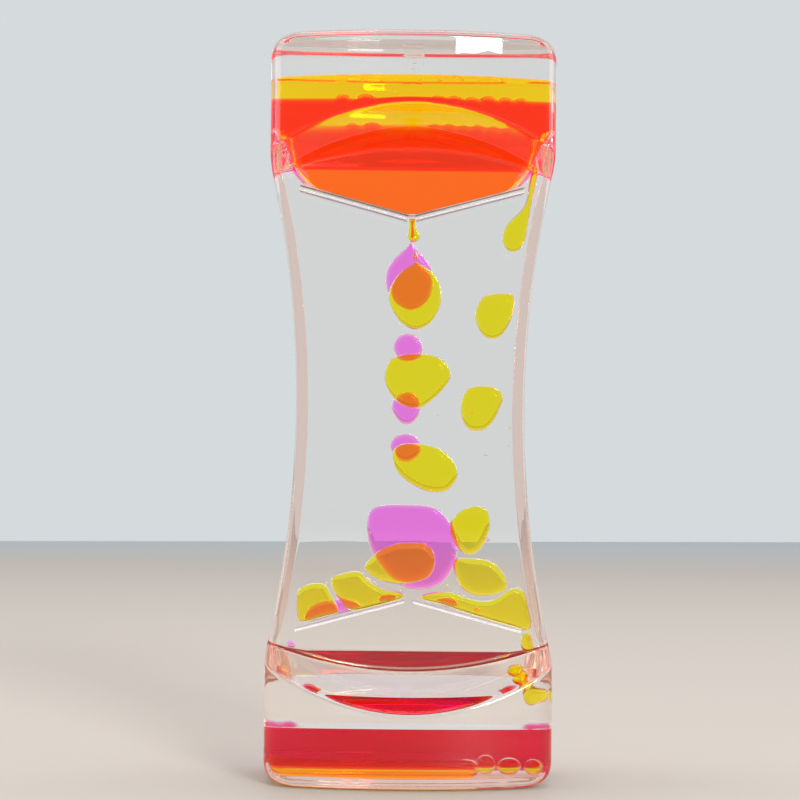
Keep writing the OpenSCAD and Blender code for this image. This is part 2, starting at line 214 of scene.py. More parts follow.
@dataclass(frozen=True)
class Dye:
    """Dyed water under oil: clear, sharp edged and as deep in colour as it is thick.

    Attributes:
        name: name of the material.
        passed: colour that the deep liquid still lets through.
        depth_mm: depth of liquid at which that colour is reached.
        glow: colour of the painted glow, light that the surfaces of the liquid give
            off though no lamp is there.
        glow_strength: how much of it.
        ior: index of the liquid over that of the carrier liquid.
        fade_mm: heights over the floor between which the painted glow fades out, so
        that only the bottom of the liquid looks lit, or None.
        swirl_mm: width of the soft waves on the surface.
        swirl_depth: how strongly they bend a reflection.
    """

    name: str
    passed: str
    depth_mm: float
    glow: str = "#FFFFFF"
    glow_strength: float = 0.0
    ior: float = WATER_IOR / CARRIER_IOR
    fade_mm: tuple[float, float] | None = None
    swirl_mm: float = 5.0
    swirl_depth: float = 0.006

    def material(self) -> bpy.types.Material:
        """Makes the material of this finish: absorption takes 1 - colour per density."""
        material, tree = new_material(self.name)
        darkest, clearest = 0.002, 0.999
        passed = np.clip(np.array(linear(self.passed)[:3]), darkest, clearest)
        loss = -np.log(passed) / (self.depth_mm * MM)
        density = float(loss.max())
        colour = tuple(float(c) for c in 1 - loss / density) + (1.0,)
        # Painted glow: the surfaces give off light in the glow colour.
        strength: float | bpy.types.NodeSocket = self.glow_strength
        # With fade_mm the painted glow is full low down and fades out with height.
        if self.fade_mm is not None:
            strength = add_node(
                tree, "ShaderNodeMapRange", Value=split(tree, "Object", "Z"),
                From_Min=self.fade_mm[0] * MM, From_Max=self.fade_mm[1] * MM,
                To_Min=self.glow_strength, To_Max=0.0,
            ).outputs["Result"]
        inside = add_node(
            tree, "ShaderNodeVolumeAbsorption", Color=colour, Density=density,
        )
        swirl = noise(tree, self.swirl_mm, Detail=1.0)
        add_node(
            tree, "ShaderNodeOutputMaterial", Volume=inside.outputs["Volume"], **principled(
                tree, Base_Color=(1.0, 1.0, 1.0, 1.0), Roughness=0.0, IOR=self.ior,
                Transmission_Weight=1.0, Normal=relief(tree, swirl, self.swirl_depth),
                Emission_Color=linear(self.glow), Emission_Strength=strength,
            )
        )
        return material


@dataclass(frozen=True)
class MilkyPlastic:
    """Milky polystyrene strip, cut and polished, as the slats have.

    Its colour is also given off as a painted glow, so that it shows as thin
    bright lines.

    Attributes:
        name: name of the material.
        colour: colour of the strip.
        glow: strength of the painted glow.
        cloud_mm: width of the clouds in its gloss.
        gloss: roughness where it is smoothest and where it is dullest.
        ior: index of the strip over that of the carrier liquid.
    """

    name: str
    colour: str
    glow: float
    cloud_mm: float = 3.0
    gloss: tuple[float, float] = (0.25, 0.4)
    ior: float = 1.2

    def material(self) -> bpy.types.Material:
        """Makes the material of this finish."""
        material, tree = new_material(self.name)
        cloud = noise(tree, self.cloud_mm, Detail=2.0)
        gloss = add_node(
            tree, "ShaderNodeMapRange", Value=cloud, To_Min=self.gloss[0],
            To_Max=self.gloss[1],
        )
        # The strip gives off a painted glow in its own colour.
        add_node(tree, "ShaderNodeOutputMaterial", **principled(
            tree, Base_Color=linear(self.colour), Roughness=gloss.outputs["Result"],
            IOR=self.ior, Emission_Color=linear(self.colour), Emission_Strength=self.glow,
        ))
        return material


@dataclass(frozen=True)
class Matte:
    """Painted board for the floor, which fades to the backdrop at its far edge.

    Attributes:
        name: name of the material.
        colour: colour near the object.
        far_colour: colour at the far edge.
        fade: depths in metres between which it goes from one to the other.
        roughness: how dull the paint is.
        ior: index of the paint.
    """

    name: str
    colour: str
    far_colour: str
    fade: tuple[float, float] = (0.9, 1.3)
    roughness: float = 0.55
    ior: float = 1.35

    def material(self) -> bpy.types.Material:
        """Makes the material of this finish."""
        material, tree = new_material(self.name)
        far = add_node(
            tree, "ShaderNodeMapRange", Value=split(tree, "Object", "Y"),
            From_Min=self.fade[0], From_Max=self.fade[1],
        )
        shade = blend(tree, far.outputs["Result"], self.colour, self.far_colour)
        add_node(tree, "ShaderNodeOutputMaterial", **principled(
            tree, Base_Color=shade, Roughness=self.roughness, IOR=self.ior,
        ))
        return material


# Its peach colour where it faces sideways is partly a painted reflection of the coloured
# liquids inside the walls.
OUTER_WALL = ClearPlastic("moulded_acrylic", ACRYLIC_IOR, edge_tint_and_painted_reflection="#FFDCCF")
WET_WALL = ClearPlastic(
    "moulded_acrylic_under_oil", ACRYLIC_IOR / CARRIER_IOR, ripple_depth=0.0
)
WELD = ClearPlastic(
    "solvent_welded_joint", 1.0, tint="#FFE6DC", edge_tint_and_painted_reflection="#FFE6DC", ripple_depth=0.0
)
BONDED_EDGE = ClearPlastic("bonded_sheet_edge", 1.0, ripple_depth=0.0)
TINTED_PLUG = ClearPlastic("blush_acrylic", ACRYLIC_IOR, tint="#F4B8AE")
# Lit and shaded copies of one milky strip: the front slats with a painted glow, the rear
# ones painted lilac for the coloured light that reaches the eye from them through the
# liquids, and a dark line of painted shade.
SLAT = MilkyPlastic("milky_polystyrene", "#FAFAFC", 0.5)
REAR_SLAT = MilkyPlastic("lilac_lit_polystyrene", "#CBB6D6", 0.2)
SHADED_EDGE = MilkyPlastic("shaded_polystyrene_edge", "#8C7240", 0.1)
# Every dyed water gives off a painted glow, which is stronger in the head and the pink pool
# than in the drops.
YELLOW_DYE = Dye("yellow_dyed_water", "#FFF314", 3.0, "#FFA800", 0.02)
PINK_DYE = Dye("pink_dyed_water", "#FF86F4", 3.0, "#F870F0", 0.05)
HEAD_YELLOW_DYE = Dye("fluorescent_yellow_water", "#FFF918", 3.0, "#FF6800", 0.10)
HEAD_PINK_DYE = Dye("fluorescent_pink_water", "#FF7CDC", 3.0, "#FF1448", 0.065)
POOL_PINK_DYE = Dye(
    "fluorescent_magenta_water", "#F982B8", 3.0, "#FF0C24", 0.055, ior=POOL_IOR_RATIO
)
# Painted amber glow at the bottom of the yellow pool: full up to 2.2 mm over the floor and
# gone at 3 mm, as if lit from below.
POOL_YELLOW_DYE = Dye(
    "amber_lit_yellow_water", "#FFF314", 3.0, "#FFC400", 0.16, fade_mm=(2.2, 3.0)
)
FLOOR = Matte("pale_painted_board", "#D4C8BE", "#D5DADC")


# ---------------------------------------------------------------- meshes


@dataclass
class Patch:
    """A grid of points, rows by columns by 3, in mm about the middle of the block.

    Attributes:
        points: the grid.
        slot: index of its finish.
        capped: whether the first and the last row each close with one flat face.
    """

    points: Array
    slot: int = 0
    capped: bool = False


def quads(rows: int, columns: int) -> Array:
    """Corner numbers of the faces between neighbouring rows and columns of a grid."""
    first = np.arange(rows - 1)[:, None] * columns + np.arange(columns - 1)[None, :]
    first = first.reshape(-1)
    return np.stack([first, first + 1, first + columns + 1, first + columns], 1)


def make_piece(
    name: str, patches: Sequence[Patch], materials: Sequence[bpy.types.Material],
    crease_deg: float = 38.0,
) -> bpy.types.Object:
    """Joins patches into one closed, smooth mesh with its faces outwards.

    Args:
        name: name of the piece.
        patches: its grids, whose edges meet.
        materials: one material for each slot that the patches name.
        crease_deg: edges sharper than this stay sharp.

    Returns:
        The new object, which sits at the origin.
    """
    same, slight = 3e-6, 1e-7
    points = np.concatenate([p.points.reshape(-1, 3) for p in patches])
    points = (points + [0, 0, MID_Z]) * MM
    sizes = [p.points.shape[0] * p.points.shape[1] for p in patches]
    starts = np.cumsum([0] + sizes[:-1])
    faces, slots = [], []
    for patch, start in zip(patches, starts):
        rows, columns = patch.points.shape[:2]
        own = (quads(rows, columns) + start).tolist()
        if patch.capped:
            own += [[int(start + row * columns + i) for i in range(columns - 1)]
                    for row in (0, rows - 1)]
        faces += own
        slots += [patch.slot] * len(own)
    mesh = bpy.data.meshes.new(name)
    mesh.from_pydata(points, [], faces)
    mesh.polygons.foreach_set("material_index", slots)
    work = bmesh.new()
    work.from_mesh(mesh)
    bmesh.ops.remove_doubles(work, verts=work.verts, dist=same)
    bmesh.ops.dissolve_degenerate(work, edges=work.edges, dist=slight)
    bmesh.ops.recalc_face_normals(work, faces=work.faces)
    work.to_mesh(mesh)
    work.free()
    mesh.polygons.foreach_set("use_smooth", np.ones(len(mesh.polygons), bool))
    mesh.set_sharp_from_angle(angle=math.radians(crease_deg))
    piece = bpy.data.objects.new(name, mesh)
    bpy.context.scene.collection.objects.link(piece)
    for material in materials:
        mesh.materials.append(material)
    return piece


def eased(count: int) -> Array:
    """Shares from 0 to 1 that crowd at both ends: half of 1 less a cosine."""
    return (1 - np.cos(np.pi * np.linspace(0, 1, count))) / 2


def soft_max(a: Array, b: Array, k: float) -> Array:
    """The larger of two fields, rounded where they lie within k of each other."""
    h = np.clip(k - np.abs(a - b), 0, None) / k
    return np.maximum(a, b) + h * h * k / 4


@dataclass(frozen=True)
class BlockForm:
    """Half of the hourglass block, from the plane where the two shells meet.

    Attributes:
        half_w: half the width of the head and foot.
        half_waist: half the width at the waist.
        half_h: half the height.
        corner: radius of the corners seen from the front.
        shoulder_h: height at which the sides turn straight.
        shoulder_r: radius of the shoulder.
        half_d: depth on the centre line.
        bow_r: radius of the bowed face.
        edge_r: size of the rounded upright edges of the head and foot.
        waist_edge: the same at the waist.
        edge_from: height at which the size begins to change from one to the other.
        edge_over: height over which it changes.
        lip: size of the rounded edges along the top and bottom.
        floor: depth at the flat panel.
        panel_c: height of the centre of the panel's curved end.
        panel_r: radius of that end.
        dish_k: how much the dish widens for each mm of depth.
        ramp_h: height at which the panel ends in a straight edge with a ramp, in
            place of the dish, or 0 for the dish.
        crease: how softly the faces of the dish meet.
    """

    half_w: float = 29.7
    half_waist: float = 24.0
    half_h: float = 77.5
    corner: float = 4.6
    shoulder_h: float = 52.5
    shoulder_r: float = 20.0
    half_d: float = 19.0
    bow_r: float = 80.0
    edge_r: float = 3.6
    waist_edge: float = 1.7
    edge_from: float = 42.0
    edge_over: float = 13.0
    lip: float = 1.8
    floor: float = 6.3
    panel_c: float = -20.2
    panel_r: float = 75.0
    dish_k: float = 7.3 / 12.7
    ramp_h: float = 0.0
    crease: float = 0.9

    def inset(self, side: float, waist: float, end: float, face: float, panel: float
              ) -> BlockForm:
        """Shrinks the form by its walls.

        Args:
            side: side wall at the head and foot.
            waist: side wall at the waist.
            end: top and bottom wall.
            face: bowed front wall.
            panel: wall of the panel and dish.

        Returns:
            The smaller form.
        """
        grown = panel * (math.sqrt(1 + self.dish_k ** 2) - self.dish_k)
        return replace(
            self,
            half_w=self.half_w - side, half_waist=self.half_waist - waist,
            half_h=self.half_h - end, corner=self.corner - end,
            shoulder_r=self.shoulder_r - side, half_d=self.half_d - face,
            bow_r=self.bow_r - face, edge_r=max(self.edge_r - face, 0.5),
            waist_edge=max(self.waist_edge - panel, 0.5), lip=max(self.lip - end, 0.6),
            floor=self.floor - panel, panel_r=self.panel_r + grown,
            ramp_h=self.ramp_h + grown if self.ramp_h else 0.0,
        )

    def width(self, z: Array) -> Array:
        """Half the width at a height: waist, shoulder, straight side and corner."""
        a = np.minimum(np.abs(z), self.half_h)
        g = self.half_w - self.half_waist
        both = (g * g + self.shoulder_h ** 2) / (2 * g)
        wr, rs, rc = both - self.shoulder_r, self.shoulder_r, self.corner
        bend = self.shoulder_h * wr / both
        waist = self.half_waist + wr - np.sqrt(wr * wr - np.minimum(a, bend) ** 2)
        over = np.clip(self.shoulder_h - a, 0, None)
        shoulder = self.half_w - rs + np.sqrt(np.clip(rs * rs - over * over, 0, None))
        up = np.clip(a - self.half_h + rc, 0, None)
        corner = self.half_w - rc + np.sqrt(np.clip(rc * rc - up * up, 0, None))
        return np.where(a < bend, waist, np.where(up > 0, corner, shoulder))

    def bow(self, x: Array) -> Array:
        """Depth of the bowed face: an arc of bow_r across the width."""
        return np.sqrt(self.bow_r ** 2 - x * x) - (self.bow_r - self.half_d)

    def depth(self, x: Array, z: Array) -> Array:
        """Depth of the face: the bow, cut by the panel and the cone or the ramp."""
        a = np.abs(z)
        if self.ramp_h:
            cone = self.floor + (a - self.ramp_h) / self.dish_k + 0 * x
        else:
            reach = np.sqrt(x * x + (a - self.panel_c) ** 2)
            cone = self.floor + (reach - self.panel_r) / self.dish_k
        dish = soft_max(np.full_like(cone, self.floor), cone, self.crease)
        face = -soft_max(-self.bow(x), -dish, self.crease)
        up = np.clip(a - self.half_h + self.lip, 0, self.lip)
        return face - self.lip + np.sqrt(self.lip ** 2 - up * up)

    def edge(self, z: Array) -> Array:
        """Size of the rounded upright edge at a height."""
        t = np.clip((np.abs(z) - self.edge_from) / self.edge_over, 0, 1)
        t = t * t * (3 - 2 * t)
        return self.waist_edge + (self.edge_r - self.waist_edge) * t

    def knots(self, x: Array) -> Array:
        """Heights where the face changes: ends, corners, rim of the dish, panel, middle."""
        apart = 0.5
        climb = (self.bow(x) - self.floor) * self.dish_k
        if self.ramp_h:
            panel = np.full_like(x, self.ramp_h)
            rim = panel + climb
        else:
            panel = self.panel_c + np.sqrt(self.panel_r ** 2 - x * x)
            rim = self.panel_c + np.sqrt((self.panel_r + climb) ** 2 - x * x)
        straight = np.full_like(x, self.half_h - self.corner)
        rim = np.minimum(rim, straight - apart)
        end = np.full_like(x, self.half_h)
        up = np.stack([np.zeros_like(x), panel, rim, straight, end])
        return np.concatenate([-up[:0:-1], up])


@dataclass
class BlockGrid:
    """A part of a BlockForm as a grid: rows climb, columns run round the face.

    Attributes:
        form: the block.
        back: depth of its flat back.
        low: lowest height at a place across, or None for the bottom.
        high: height of a level top, or None for the form's own.
        right: right edge at a height where it isn't the form's own.
        top_bumps: centre, radius and rise of each dome on the top.
        columns: columns over the face.
    """

    form: BlockForm
    back: float = 0.0
    low: Callable[[Array], Array] | None = None
    high: float | None = None
    right: Callable[[Array], Array] | None = None
    top_bumps: Sequence[tuple[float, float, float, float]] = ()
    columns: int = 81
    _steps: tuple[int, ...] = (22, 14, 22, 30, 30, 22, 14, 22)

    def __post_init__(self) -> None:
        """Works out which stretch between two knots each row lies in."""
        stretch, share = [], []
        last = len(self._steps) - 1
        for i, n in enumerate(self._steps):
            s = eased(n + 1)
            if i in (0, last):
                s = np.sin(np.linspace(0, np.pi / 2, n + 1))
                s = 1 - s[::-1] if i == 0 else s
            stretch += [i] * (n + (i == last))
            share += list(s if i == last else s[:-1])
        self._stretch, self._share = np.array(stretch), np.array(share)

    def height(self, x: Array) -> Array:
        """Heights of all rows at the places x, rows by columns."""
        knots = self.form.knots(x)
        row = np.arange(len(self._stretch))[:, None]
        column = np.arange(x.shape[1])[None, :]
        lower = knots[self._stretch[:, None], row, column]
        upper = knots[self._stretch[:, None] + 1, row, column]
        z = lower + (upper - lower) * self._share[:, None]
        if self.low is not None:
            z = np.maximum(z, self.low(x))
        if self.high is not None:
            z = np.minimum(z, self.high)
        return z

    def _side(self, sign: float) -> Array:
        """The edge of every row on one side, by going from width to height and back."""
        rows = len(self._stretch)
        x = np.full((rows, 1), sign * self.form.half_w)
        for _ in range(12):
            z = self.height(x)
            w = self.form.width(z)
            if sign > 0 and self.right is not None:
                w = np.minimum(w, self.right(z))
            x = sign * w
        return x

    def _rounded(self, inner: Array, outer: Array, edge: Array, count: int) -> Array:
        """The rounded edge of each row as a conic whose ends run on into face and side.

        Args:
            inner: place across where the face ends, rows by 1.
            outer: place across of the side, rows by 1.
            edge: size of the rounding, rows by 1.
            count: columns of the rounding.

        Returns:
            Points, rows by count by 3, from the face to the side.
        """
        reach, steepest, pull, least = 0.05, 1.5, 0.72, 0.1
        step = reach * np.sign(outer)
        at = self.form.depth(inner, self.height(inner))
        before = self.form.depth(inner - step, self.height(inner - step))
        fall = np.clip((at - before) / reach, -steepest, steepest)
        tip = at + fall * np.abs(outer - inner)
        end = np.maximum(tip - edge, self.back + least)
        t = np.linspace(0, 1, count)[None, :]
        a, b, c = (1 - t) ** 2, 2 * pull * t * (1 - t), t * t
        total = a + b + c
        x = (a * inner + (b + c) * outer) / total
        y = (a * at + b * tip + c * end) / total
        return np.stack([x, -y, self.height(x)], 2)

    def surface(self) -> Array:
        """The face with its rounded edges and sides, rows by columns by 3."""
        left, right = self._side(-1.0), self._side(1.0)
        edge = self.form.edge(self.height(right))
        u = np.linspace(0, 1, self.columns)[None, :]
        inner_l, inner_r = left + edge, right - edge
        x = inner_l + (inner_r - inner_l) * u
        z = self.height(x)
        face = np.stack([x, -self.form.depth(x, z), z], 2)
        parts = []
        for inner, outer in ((inner_l, left), (inner_r, right)):
            turn = self._rounded(inner, outer, edge, 9)
            s = np.linspace(0, 1, 6)[None, :, None]
            end = turn[:, -1:, :].copy()
            flat = end.copy()
            flat[:, :, 1] = -self.back
            parts.append((turn, end + (flat - end) * s))
        (turn_l, side_l), (turn_r, side_r) = parts
        return np.concatenate([
            side_l[:, ::-1], turn_l[:, ::-1][:, 1:], face[:, 1:-1],
            turn_r[:, :-1], side_r,
        ], 1)

    def flat_back(self, surface: Array) -> Array:
        """The flat back with the same rows and as many columns as the surface."""
        n = surface.shape[1]
        u = np.linspace(0, 1, n)[None, :]
        x = surface[:, :1, 0] + (surface[:, -1:, 0] - surface[:, :1, 0]) * u
        return np.stack([x, np.full_like(x, -self.back), self.height(x)], 2)

    def end_cap(self, rim: Array, line: Array, domes: bool = False) -> Array:
        """The flat end between the rim of the face and the back edge, with its domes.

        Args:
            rim: first or last row of the surface.
            line: the same row of the flat back.
            domes: whether the domes rise from this end.

        Returns:
            Points, 49 rows with domes or 9 without, by the columns by 3.
        """
        t = np.linspace(0, 1, 49 if domes else 9)[:, None, None]
        points = rim[None] + (line - rim)[None] * t
        if domes:
            x, y = points[..., 0], points[..., 1]
            rise = np.zeros_like(x)
            for cx, cy, r, h in self.top_bumps:
                globe = (r * r + h * h) / (2 * h)
                d2 = (x - cx) ** 2 + (y - cy) ** 2
                cap = np.sqrt(np.clip(globe * globe - d2, 0, None)) - (globe - h)
                rise = np.maximum(rise, np.clip(cap, 0, None))
            # The border rows stay level, so that the cap still meets face and back.
            points[1:-1, :, 2] += rise[1:-1]
        return points

    def solid(self) -> list[Patch]:
        """All the patches of the closed solid."""
        surface = self.surface()
        flat = self.flat_back(surface)
        return [
            Patch(surface), Patch(flat),
            Patch(self.end_cap(surface[0], flat[0])),
            Patch(self.end_cap(surface[-1], flat[-1], bool(self.top_bumps))),
        ]


def mirrored(patches: Sequence[Patch], side: Side) -> list[Patch]:
    """The patches as they are for the front, or with Y turned round for the rear."""
    turn = np.array([1.0, -side.value, 1.0])
    return [replace(p, points=p.points * turn) for p in patches]


def smooth_outline(points: Sequence[tuple[float, float]], per_side: int = 6) -> Array:
    """A closed curve through points, as a Catmull-Rom spline.

    Between two points the curve is half of 2 b + (c - a) t + (2 a - 5 b + 4 c - d) t^2
    + (3 b - a - 3 c + d) t^3, where a to d are the four points round the stretch.

    Args:
        points: corners of the outline, across and up.
        per_side: steps between two corners.

    Returns:
        Points across and up, the last on the first.
    """
    b = np.array(points)
    a, c, d = np.roll(b, 1, 0), np.roll(b, -1, 0), np.roll(b, -2, 0)
    t = (np.arange(per_side) / per_side)[None, :, None]
    a, b, c, d = (q[:, None, :] for q in (a, b, c, d))
    curve = (2 * b + (c - a) * t + (2 * a - 5 * b + 4 * c - d) * t ** 2
             + (3 * b - a - 3 * c + d) * t ** 3) / 2
    curve = curve.reshape(-1, 2)
    for _ in range(3):
        curve = (np.roll(curve, 1, 0) + 2 * curve + np.roll(curve, -1, 0)) / 4
    return np.concatenate([curve, curve[:1]])


def inward(outline: Array) -> tuple[Array, Array]:
    """Inward normals of a closed outline, and how wide it is along each of them.

    The width at a point is the least distance to a point that lies within 45
    degrees of its normal, evened out along the outline.

    Args:
        outline: closed outline, the last point on the first.

    Returns:
        Normals and widths, as many as the points.
    """
    ring = outline[:-1]
    ahead = np.roll(ring, -1, 0) - np.roll(ring, 1, 0)
    normal = np.stack([-ahead[:, 1], ahead[:, 0]], 1)
    normal /= np.linalg.norm(normal, axis=1)[:, None] + 1e-9
    x, z = ring.T
    area = float(np.sum(x * np.roll(z, -1) - np.roll(x, -1) * z))
    normal *= 1.0 if area > 0 else -1.0
    gap = ring[None] - ring[:, None]
    length = np.linalg.norm(gap, axis=2)
    along = np.einsum("ijk,ik->ij", gap, normal)
    width = np.where(along > 0.7 * length + 1e-6, length, 1e3).min(1)
    for _ in range(6):
        around = np.minimum(np.roll(width, 1), np.roll(width, -1))
        width = np.minimum(width, (around + width) / 2 + 0.1)
    return np.concatenate([normal, normal[:1]]), np.concatenate([width, width[:1]])


def pebble(outline: Array, middle: tuple[float, float, float], half_t: float = 1.45
           ) -> list[Patch]:
    """A drop squeezed flat between two walls.

    The outline moves inwards by the rim's radius less its cosine, as the depth
    follows the sine, and a flat face closes the drop at either wall.

    Args:
        outline: closed outline about the middle, across and up.
        middle: middle of the drop.
        half_t: half its thickness.

    Returns:
        One capped patch.
    """
    deepest, widest, face = 0.9, 0.4, 1.06
    normal, width = inward(outline)
    rim = np.minimum(half_t * deepest, width * widest)[:, None]
    turn = np.linspace(-np.pi / 2, np.pi / 2, 15)
    rows = [outline + normal * rim * (1 - math.cos(t)) for t in turn]
    flat = outline + normal * rim * face
    rows = [flat] + rows + [flat]
    depth = [-half_t] + list(half_t * np.sin(turn)) + [half_t]
    grid = np.stack([
        np.stack([row[:, 0], np.full(len(row), y), row[:, 1]], 1)
        for row, y in zip(rows, depth)
    ])
    return [Patch(grid + np.array(middle), capped=True)]


def turned(profile: Sequence[tuple[float, float]] | Array, x: float, y: float
           ) -> list[Patch]:
    """A profile of radius and height turned about an upright axis at x, y."""
    r, z = np.array(profile).T[:, :, None]
    lon = np.linspace(0, 2 * np.pi, 49)[None, :]
    grid = np.stack([x + r * np.cos(lon), y + r * np.sin(lon), z + 0 * lon], 2)
    return [Patch(grid)]


def ball(middle: tuple[float, float, float], r: float, squash: float = 1.0) -> list[Patch]:
    """A ball: cosine and sine of the latitude, squashed in height and turned."""
    x, y, z = middle
    lat = np.linspace(-np.pi / 2, np.pi / 2, 25)
    return turned(np.stack([r * np.cos(lat), z + r * squash * np.sin(lat)], 1), x, y)


# ---------------------------------------------------------------- the parts

LIQUID_GAP = 0.15
SHEET_T = 1.6
PORT_Y = 8.9
# The slats' inner ends stand this high, this far from each other and slope like this.
SLAT_H, SLAT_GAP, SLOPE = 40.4, 1.7, math.radians(15.0)
FRONT_BLOCK = BlockForm()
REAR_BLOCK = BlockForm(ramp_h=51.2, dish_k=8.9 / 12.7)


@dataclass(frozen=True)
class Half:
    """One half of the block: its outside, its chamber and what liquid can fill.

    Attributes:
        side: front or rear.
        outer: the outside.
    """

    side: Side
    outer: BlockForm

    @property
    def cavity(self) -> BlockForm:
        """The chamber, inside the walls."""
        return self.outer.inset(side=2.0, waist=2.4, end=2.0, face=2.0, panel=2.0)

    @property
    def fill(self) -> BlockForm:
        """The room for liquid, which stays a film away from the walls."""
        g = LIQUID_GAP
        return self.cavity.inset(side=g, waist=g, end=g, face=g, panel=g)

    @property
    def word(self) -> str:
        """Front or rear, as in the names of the pieces."""
        return self.side.name.lower()


HALVES = (Half(Side.FRONT, FRONT_BLOCK), Half(Side.REAR, REAR_BLOCK))


@dataclass
class Part:
    """Keeps the pieces that it builds.

    Attributes:
        pieces: what was built.
    """

    pieces: list[bpy.types.Object] = field(default_factory=list)

    def keep(self, piece: bpy.types.Object, slot: str, node: str | None = None,
             body: str = Body.HOUSING.value) -> None:
        """Puts a piece on a body, and in the place of a CAD node where one is named."""
        if node:
            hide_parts(node)
        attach(piece, body)
        self.pieces.append(piece)


@dataclass
class Housing(Part):
    """The two clear moulded shells, the partition between them, plugs and slats.

    Attributes:
        weld_gap: width of the welded joint between the shells.
        hair: gap that keeps two surfaces apart which would else touch.
        boss_r: radius of the boss under a port.
        boss_l: length of the boss.
        pin_r: radius of the thin pin under a boss.
        pin_l: length of the pin.
        nub_r: radius of the nub of a plug.
        nub_h: height of the nub.
        slat_reach: outer ends of the slats.
        slat_t: thickness of the drawn line of a front and of a rear slat.
        slat_y: depths between which a slat lies.
        lit_edge: how far the bright edge of an upper slat lies over its middle line,
            and its thickness as a share of slat_t.
        shaded_edge: the same for the shaded edge.
    """

    weld_gap: float = 0.02
    hair: float = 0.02
    boss_r: float = 2.0
    boss_l: float = 2.8
    pin_r: float = 0.42
    pin_l: float = 1.2
    nub_r: float = 2.3
    nub_h: float = 1.3
    slat_reach: float = 23.7
    slat_t: tuple[float, float] = (0.4, 0.3)
    slat_y: tuple[float, float] = (0.85, 4.25)
    lit_edge: tuple[float, float] = (-0.36, 1 / 3)
    shaded_edge: tuple[float, float] = (0.39, 1 / 7)

    def shell(self, half: Half) -> list[Patch]:
        """Outer skin, inner skin and the four sides of the joint between them."""
        patches, rims = [], []
        for slot, form in enumerate((half.outer, half.cavity)):
            grid = BlockGrid(form, back=self.weld_gap / 2)
            skin = grid.surface()
            flat = grid.flat_back(skin)
            caps = [grid.end_cap(skin[i], flat[i]) for i in (0, -1)]
            patches += [Patch(skin, slot)] + [Patch(c, slot) for c in caps]
            rims.append((skin[:, 0], flat[-1], skin[:, -1], flat[0]))
        patches += [Patch(np.stack(pair), slot)
                    for pair, slot in zip(zip(*rims), (2, 3, 2, 2))]
        return mirrored(patches, half.side)

    def build(self) -> None:
        """Builds the shells, the bosses and the plugs."""
        materials = [f.material() for f in (OUTER_WALL, WET_WALL, WELD, BONDED_EDGE)]
        wet, blush = materials[1], TINTED_PLUG.material()
        outside, top = FRONT_BLOCK.half_h, HALVES[0].cavity.half_h
        r, low, soft = self.boss_r, top - self.boss_l, 0.3
        boss = [(0, low), (r - soft, low), (r - soft / 3, low + soft / 3), (r, low + soft),
                (r, top - self.hair), (0, top - self.hair)]
        pin = [(0, low - self.pin_l), (self.pin_r, low - self.pin_l),
               (self.pin_r, low - self.hair), (0, low - self.hair)]
        base = outside + self.hair / 2
        crown = [(self.nub_r * math.cos(a), outside + self.nub_h * math.sin(a))
                 for a in np.linspace(0, np.pi / 2, 9)]
        nub = [(0, base), (self.nub_r, base)] + crown[:-1] + [(0, crown[-1][1])]
        for half in HALVES:
            word, y = half.word, PORT_Y * half.side.value
            shell = make_piece(f"{word}_clear_shell", self.shell(half), materials)
            self.keep(shell, "clear_shell", f"{word}_shell")
            for name, profile, finish, slot, node in (
                ("port_boss", boss, wet, "clear_shell", None),
                ("plug", nub, blush, "seal_plug", f"{word}_fill_plug"),
                ("plug_pin", pin, wet, "seal_plug", None),
            ):
                piece = make_piece(f"{word}_{name}", turned(profile, 0.0, y), [finish])
                self.keep(piece, slot, node)

    def partition(self) -> None:
        """Builds the sheet between the chambers, which ends a hair from the walls."""
        form = HALVES[0].cavity.inset(
            side=self.hair, waist=self.hair, end=self.hair, face=0, panel=0)
        z = form.half_h * np.sin(np.linspace(-np.pi / 2, np.pi / 2, 121))[:, None]
        w = form.width(z)
        t = SHEET_T / 2
        x = np.concatenate([-w, w, w, -w, -w], 1)
        y = np.broadcast_to(np.array([-t, -t, t, t, -t]), x.shape)
        tube = np.stack([x, y, np.broadcast_to(z, x.shape)], 2)
        sides = [Patch(tube[:, i:i + 2], i % 2) for i in range(4)]
        ends = [Patch(tube[i, [[0, 1], [3, 2]]], 1) for i in (0, -1)]
        piece = make_piece("partition_sheet", sides + ends,
                           [WET_WALL.material(), BONDED_EDGE.material()], crease_deg=25.0)
        self.keep(piece, "partition_sheet", "centre_partition")

    def line(self, shift: float, r: float, slot: int) -> Patch:
        """A long thin line with round ends across the depth of a chamber.

        Args:
            shift: how far it lies above the middle line of the slat.
            r: half its thickness.
            slot: index of its finish.

        Returns:
            The line of the upper right slat of the rear half.
        """
        bevel, slim, short = 0.1, 0.86, 0.02
        length = (self.slat_reach - SLAT_GAP / 2) / math.cos(SLOPE)
        turn = np.linspace(-np.pi / 2, np.pi / 2, 9)
        u = np.concatenate([length - r + r * np.cos(turn), r - r * np.cos(turn), [0]])
        v = np.concatenate([r * np.sin(turn), -r * np.sin(turn), [0]])
        u[-1], v[-1] = u[0], v[0]
        core = np.array([slim, 1.0, 1.0, slim])[:, None]
        uu = length / 2 + (u - length / 2)[None, :] * (1 - short + short * core)
        vv = shift + v[None, :] * core
        x = SLAT_GAP / 2 + uu * math.cos(SLOPE) - vv * math.sin(SLOPE)
        z = SLAT_H + uu * math.sin(SLOPE) + vv * math.cos(SLOPE)
        near, far = self.slat_y
        y = np.array([near, near + bevel, far - bevel, far])[:, None]
        return Patch(np.stack([x, np.broadcast_to(y, x.shape), z], 2), slot)

